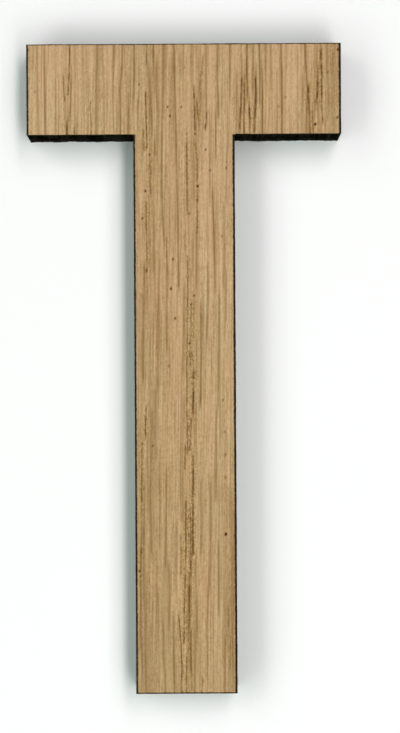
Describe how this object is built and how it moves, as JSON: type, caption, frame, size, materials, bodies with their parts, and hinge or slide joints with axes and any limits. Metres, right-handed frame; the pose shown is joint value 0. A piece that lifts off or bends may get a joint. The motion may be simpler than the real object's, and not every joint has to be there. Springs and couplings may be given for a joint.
{
  "type": "wooden letter",
  "caption": "Flat wooden capital letter with a straight bar and stem, laser-cut from oak-veneered fibreboard with charred edges, for lying flat, standing or gluing to a wall.",
  "frame": {"origin": "centre of the back face's bounding rectangle, on the plane that the letter lies on", "axes": "+X along the bar towards the right arm as the letter is read, +Y up the stem towards the bar, +Z out of the oak face"},
  "size_m": [0.0484, 0.1, 0.006],
  "materials": {
    "face_oak": "fine sanded, unfinished, straight open grain, scorched brown along the cut",
    "back_oak": "sanded, unfinished, straight open grain, smoke-stained along the cut",
    "charred_fibreboard": "laser-charred matt black cut edge",
    "charred_glue": "charred glue line, dull"
  },
  "bodies": {
    "root": {"face_veneer": "face_oak", "face_glue_film": "charred_glue", "fibreboard_core": "charred_fibreboard", "back_glue_film": "charred_glue", "back_veneer": "back_oak"}
  },
  "joints": []
}
